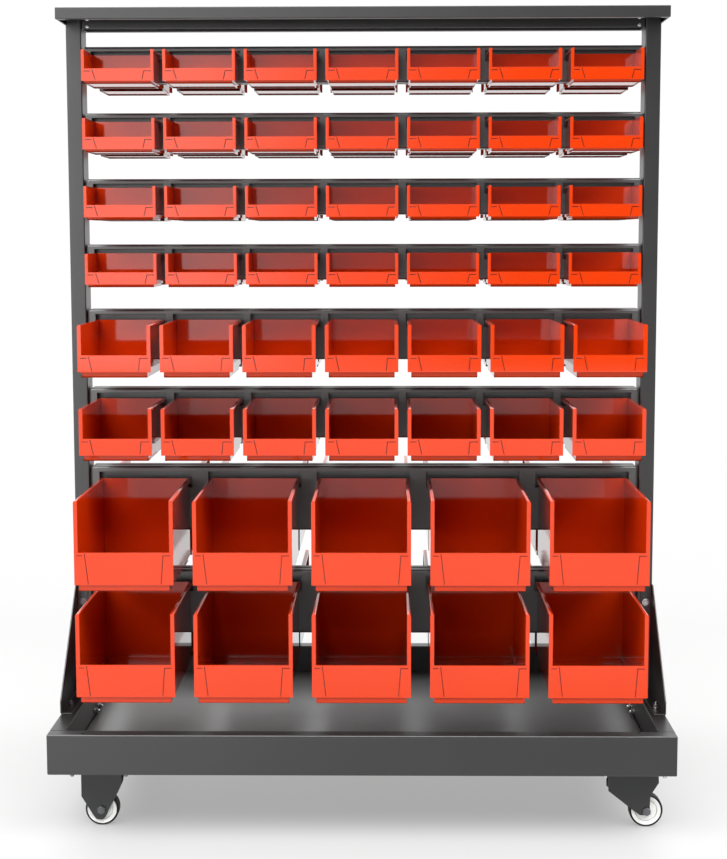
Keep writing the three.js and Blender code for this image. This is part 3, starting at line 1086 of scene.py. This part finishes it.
def beam_buttons():
    bm = bmesh.new()
    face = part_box("top_beam")[1].y
    for side in (-1, 1):
        for end in (-1, 1):
            for z in beam_button_heights:
                button(bm, (side * beam_button_x, end * face, z), (0, end, 0), *beam_button)
    finish_piece(bm, "beam_bolts", zinc)


def gusset_bolts(side, side_name, plating):
    """The bolt up on each gusset of one side, and the one with its nut upwards at the foot."""
    low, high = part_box("front_right_gusset")
    flange = sheet - high.y
    bm = bmesh.new()
    for end in (-1, 1):
        bolt(bm, (side * gusset_bolt_x, end * flange, gusset_bolt_height), (0, end, 0), *gusset_bolt)
        bolt(bm, (side * foot_bolt_x, end * foot_bolt_y, low.z + sheet), (0, 0, 1), *foot_bolt)
    finish_piece(bm, side_name + "_gusset_bolts", plating)


def base_bolts():
    bm = bmesh.new()
    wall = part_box("base_right_rail")[0].x
    for side in (-1, 1):
        for y in (-base_bolt_y, base_bolt_y):
            bolt(bm, (side * wall, y, base_bolt_height), (-side, 0, 0), *base_bolt)
    finish_piece(bm, "base_bolts", zinc)


rail_buttons()
beam_buttons()
# The gusset bolts at the left take the darker zinc: painted shade.
gusset_bolts(-1, "left", shaded_zinc)
gusset_bolts(1, "right", zinc)
base_bolts()

# Casters
# A rigid pair at the left end and a swivelling pair at the right: pressed forks painted black, white
# wheels with a thin dark tread, blackened axle bolts, and plates bolted up to the base. The swivelling
# pair's plates, with the race and the kingpin, are zinc plated. An outline runs from left to right.
plate_gauge = 0.0025
plate_half_depth = 0.039
plate_corner = 0.007
plate_bolt_inset = 0.008
plate_bolt = (0.0058, 0.0050, 0.0060)
fork_sheet = 0.0025
fork_bend = 0.003
fork_edge = 0.0003
leg_outer = 0.0138
leg_round = 0.0022
crown_overlap = 0.0002
rigid_half_width = 0.030
swivel_half_width = 0.037
tread_gauge = 0.0031
floor_clearance = 0.00001
bore = 0.0043
hub = 0.0086
dish = 0.0016
ring_groove = 0.0034
axle_radius = 0.004
axle_head = (0.0064, 0.0036)
axle_head_gap = 0.0001
race_radius = 0.029
race_lower_radius = 0.0262
race_height = 0.0059
kingpin_radius = 0.006
kingpin_top_rise = 0.0006
kingpin_end_rise = 0.0054
kingpin_head = (0.0108, 0.0049)
kingpin_head_rise = 0.005
black_dark = (0.011, 0.0115, 0.012)
black_light = (0.017, 0.0175, 0.0185)
axle_dark = (0.05, 0.05, 0.053)
axle_light = (0.085, 0.086, 0.09)
white_dark = (0.62, 0.62, 0.60)
white_light = (0.68, 0.68, 0.67)
rubber_dark = (0.003, 0.003, 0.0033)
rubber_light = (0.008, 0.008, 0.0083)
fine_peel_scale = 1500
fine_peel_height = 0.00002
rigid_outline = [
    (-rigid_half_width, 0.0455),
    (-0.0115, 0.0150),
    (-0.0075, 0.0100),
    (0.0010, 0.0096),
    (0.0062, 0.0146),
    (0.0126, 0.0290),
    (0.0205, 0.0430),
    (0.0292, 0.0620),
    (rigid_half_width, 0.0700),
]
swivel_outline = [
    (-swivel_half_width, 0.0560),
    (-0.0052, 0.0306),
    (0.0100, 0.0189),
    (0.0250, 0.0189),
    (0.0252, 0.0450),
    (0.0274, 0.0518),
    (0.0380, 0.0686),
]


def caster_paint(name, dark, light):
    paint = new_finish(name)
    cloud = paint.noise(40)
    return paint.surface(
        Base_Color=paint.blend(cloud, dark, light),
        Roughness=0.26 + cloud * 0.1,
        Normal=paint.bump(paint.noise(fine_peel_scale, 1), fine_peel_height),
    )


def wheel_white():
    white = new_finish("wheel_plastic")
    cloud = white.noise(60)
    shade = white.blend(cloud, white_dark, white_light)
    return white.surface(Base_Color=shade, Roughness=0.28 + cloud * 0.1)


def tread_rubber():
    rubber = new_finish("tread_rubber")
    cloud = rubber.noise(300)
    return rubber.surface(
        Base_Color=rubber.blend(cloud, rubber_dark, rubber_light),
        Roughness=0.5 + cloud * 0.2,
        Specular_IOR_Level=0.25,
        Normal=rubber.bump(cloud, 0.00005),
    )


fork_black = caster_paint("caster_paint", black_dark, black_light)
blackened = caster_paint("blackened_steel", axle_dark, axle_light)
white = wheel_white()
rubber = tread_rubber()


def plate(bm, centre, length, top, bottom):
    """A caster plate with round corners."""
    low = (centre.x - length / 2, centre.y - plate_half_depth, bottom)
    high = (centre.x + length / 2, centre.y + plate_half_depth, top)
    made = add_box(bm, low, high)
    corners = {e for v in made for e in v.link_edges if abs(e.verts[0].co.z - e.verts[1].co.z) > same_place}
    round_edges(bm, list(corners), plate_corner, 4)


def plate_bolts(name, centre, length, bottom, plating):
    """The four bolts that hold a caster plate up against the base."""
    bm = bmesh.new()
    for x in (-1, 1):
        for y in (-1, 1):
            reach_x = x * (length / 2 - plate_bolt_inset)
            reach_y = y * (plate_half_depth - plate_bolt_inset)
            bolt(bm, (centre.x + reach_x, centre.y + reach_y, bottom), (0, 0, -1), *plate_bolt)
    finish_piece(bm, name, plating)


def fork_strip(bm, outline, half_width, top, centre):
    """A strip bent down at both sides into two legs, with its cut edges broken."""
    crown = {}
    for side in (-1, 1):
        for x in (-half_width, half_width):
            crown[side, x] = bm.verts.new((centre.x + x, centre.y + side * leg_outer, top))
    loop = [(-1, -half_width), (-1, half_width), (1, half_width), (1, -half_width)]
    bm.faces.new([crown[corner] for corner in loop])
    for side in (-1, 1):
        points = [bm.verts.new((centre.x + x, centre.y + side * leg_outer, z)) for x, z in outline]
        bm.faces.new([crown[side, -half_width], *points, crown[side, half_width]])
        bmesh.ops.bevel(
            bm,
            geom=points[1:-1],
            offset=leg_round,
            affect="VERTICES",
            segments=3,
            profile=0.5,
            material=-1,
        )
    bmesh.ops.recalc_face_normals(bm, faces=bm.faces)
    bm.normal_update()
    if max(bm.faces, key=lambda f: f.calc_center_median().z).normal.z < 0:
        bmesh.ops.reverse_faces(bm, faces=bm.faces)
    round_edges(bm, fold_edges(bm), fork_bend, 4)
    bmesh.ops.recalc_face_normals(bm, faces=bm.faces)
    bmesh.ops.solidify(bm, geom=bm.faces[:], thickness=fork_sheet)
    break_edges(bm, fork_edge, 2)


def wheel(node):
    """A white wheel with a dished side and a ring groove, and the tread bonded on it."""
    low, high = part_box(node)
    centre = (low + high) / 2
    half = (high.y - low.y) / 2
    rim = (high.z - low.z) / 2 - tread_gauge
    full = (high.z - low.z) / 2 - floor_clearance
    disc = [
        (bore, half - 0.0003),
        (bore + 0.0003, half),
        (hub, half),
        (hub + 0.0006, half - 0.0004),
        (hub + dish, half - dish),
        (rim * 0.70, half - dish),
        (rim * 0.71, half - ring_groove),
        (rim * 0.75, half - ring_groove),
        (rim * 0.76, half - 0.0010),
        (rim * 0.95, half - 0.0004),
        (rim, half - 0.0003),
    ]
    tyre = [
        (rim + 0.0001, half - 0.0003),
        (rim + 0.0006, half),
        (full - 0.0010, half - 0.0002),
        (full - 0.0002, half - 0.0011),
        (full, half - 0.0022),
    ]
    for side, name, material, replaced in (
        (disc, "dressed_" + node, white, [node]),
        (tyre, node + "_tread", rubber, ()),
    ):
        profile = side + [(r, -h) for r, h in reversed(side)]
        bm = bmesh.new()
        lathe(bm, profile + profile[:1], centre, (0, 1, 0), 48)
        finish_piece(bm, name, material, body=node, replaces=replaced)


def axle_bolt(node, body):
    low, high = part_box(node)
    centre = (low + high) / 2
    shank = (high.y - low.y) / 2 - axle_head[1] - 2 * axle_head_gap
    bm = bmesh.new()
    pin = [(0, -shank), (axle_radius, -shank), (axle_radius, shank), (0, shank)]
    lathe(bm, pin, centre, (0, 1, 0))
    for side in (-1, 1):
        place = centre + Vector((0, side * (shank + axle_head_gap), 0))
        hex_head(bm, place, (0, side, 0), *axle_head)
    finish_piece(bm, "dressed_" + node, blackened, body=body, replaces=[node])


def rigid_caster(end_name):
    """The fork hangs from its plate as one piece."""
    node = end_name + "_rigid_fork"
    low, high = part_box(node)
    centre = (low + high) / 2
    length = high.x - low.x
    bottom = high.z - plate_gauge
    bm = bmesh.new()
    fork_strip(bm, rigid_outline, rigid_half_width, bottom + crown_overlap, centre)
    plate(bm, centre, length, high.z, bottom)
    finish_piece(bm, "dressed_" + node, fork_black, replaces=[node])
    # The rigid casters' plate bolts take the darker zinc: painted shade.
    plate_bolts(end_name + "_rigid_plate_bolts", centre, length, bottom, shaded_zinc)
    axle_bolt(end_name + "_rigid_axle", "frame")
    wheel(end_name + "_rigid_wheel")


def swivel_caster(end_name):
    """The plate carries the race and the kingpin, and the fork turns about them."""
    node = end_name + "_swivel_plate"
    fork_node = end_name + "_swivel_fork"
    low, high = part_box(node)
    centre = (low + high) / 2
    length = high.x - low.x
    bottom = high.z - plate_gauge
    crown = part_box(fork_node)[1].z
    bm = bmesh.new()
    plate(bm, centre, length, high.z, bottom)
    race = [
        (0, 0.0001),
        (race_radius - 0.0004, 0.0001),
        (race_radius, -0.001),
        (race_radius - 0.0008, -0.0046),
        (race_lower_radius, -race_height),
        (0, -race_height),
    ]
    lathe(bm, race, (centre.x, centre.y, bottom), (0, 0, 1), 40)
    pin_top = crown + kingpin_top_rise
    pin_end = low.z + kingpin_end_rise - pin_top
    pin = [(0, 0), (kingpin_radius, 0), (kingpin_radius, pin_end), (0, pin_end)]
    lathe(bm, pin, (centre.x, centre.y, pin_top), (0, 0, 1))
    hex_head(bm, (centre.x, centre.y, low.z + kingpin_head_rise), (0, 0, -1), *kingpin_head)
    finish_piece(bm, "dressed_" + node, zinc, replaces=[node])
    plate_bolts(end_name + "_swivel_plate_bolts", centre, length, bottom, zinc)

    bm = bmesh.new()
    fork_strip(bm, swivel_outline, swivel_half_width, crown, centre)
    dressed = "dressed_" + fork_node
    finish_piece(bm, dressed, fork_black, body=fork_node, replaces=[fork_node])
    axle_bolt(end_name + "_swivel_axle", fork_node)
    wheel(end_name + "_swivel_wheel")


for end_name in ("front", "rear"):
    rigid_caster(end_name)
    swivel_caster(end_name)
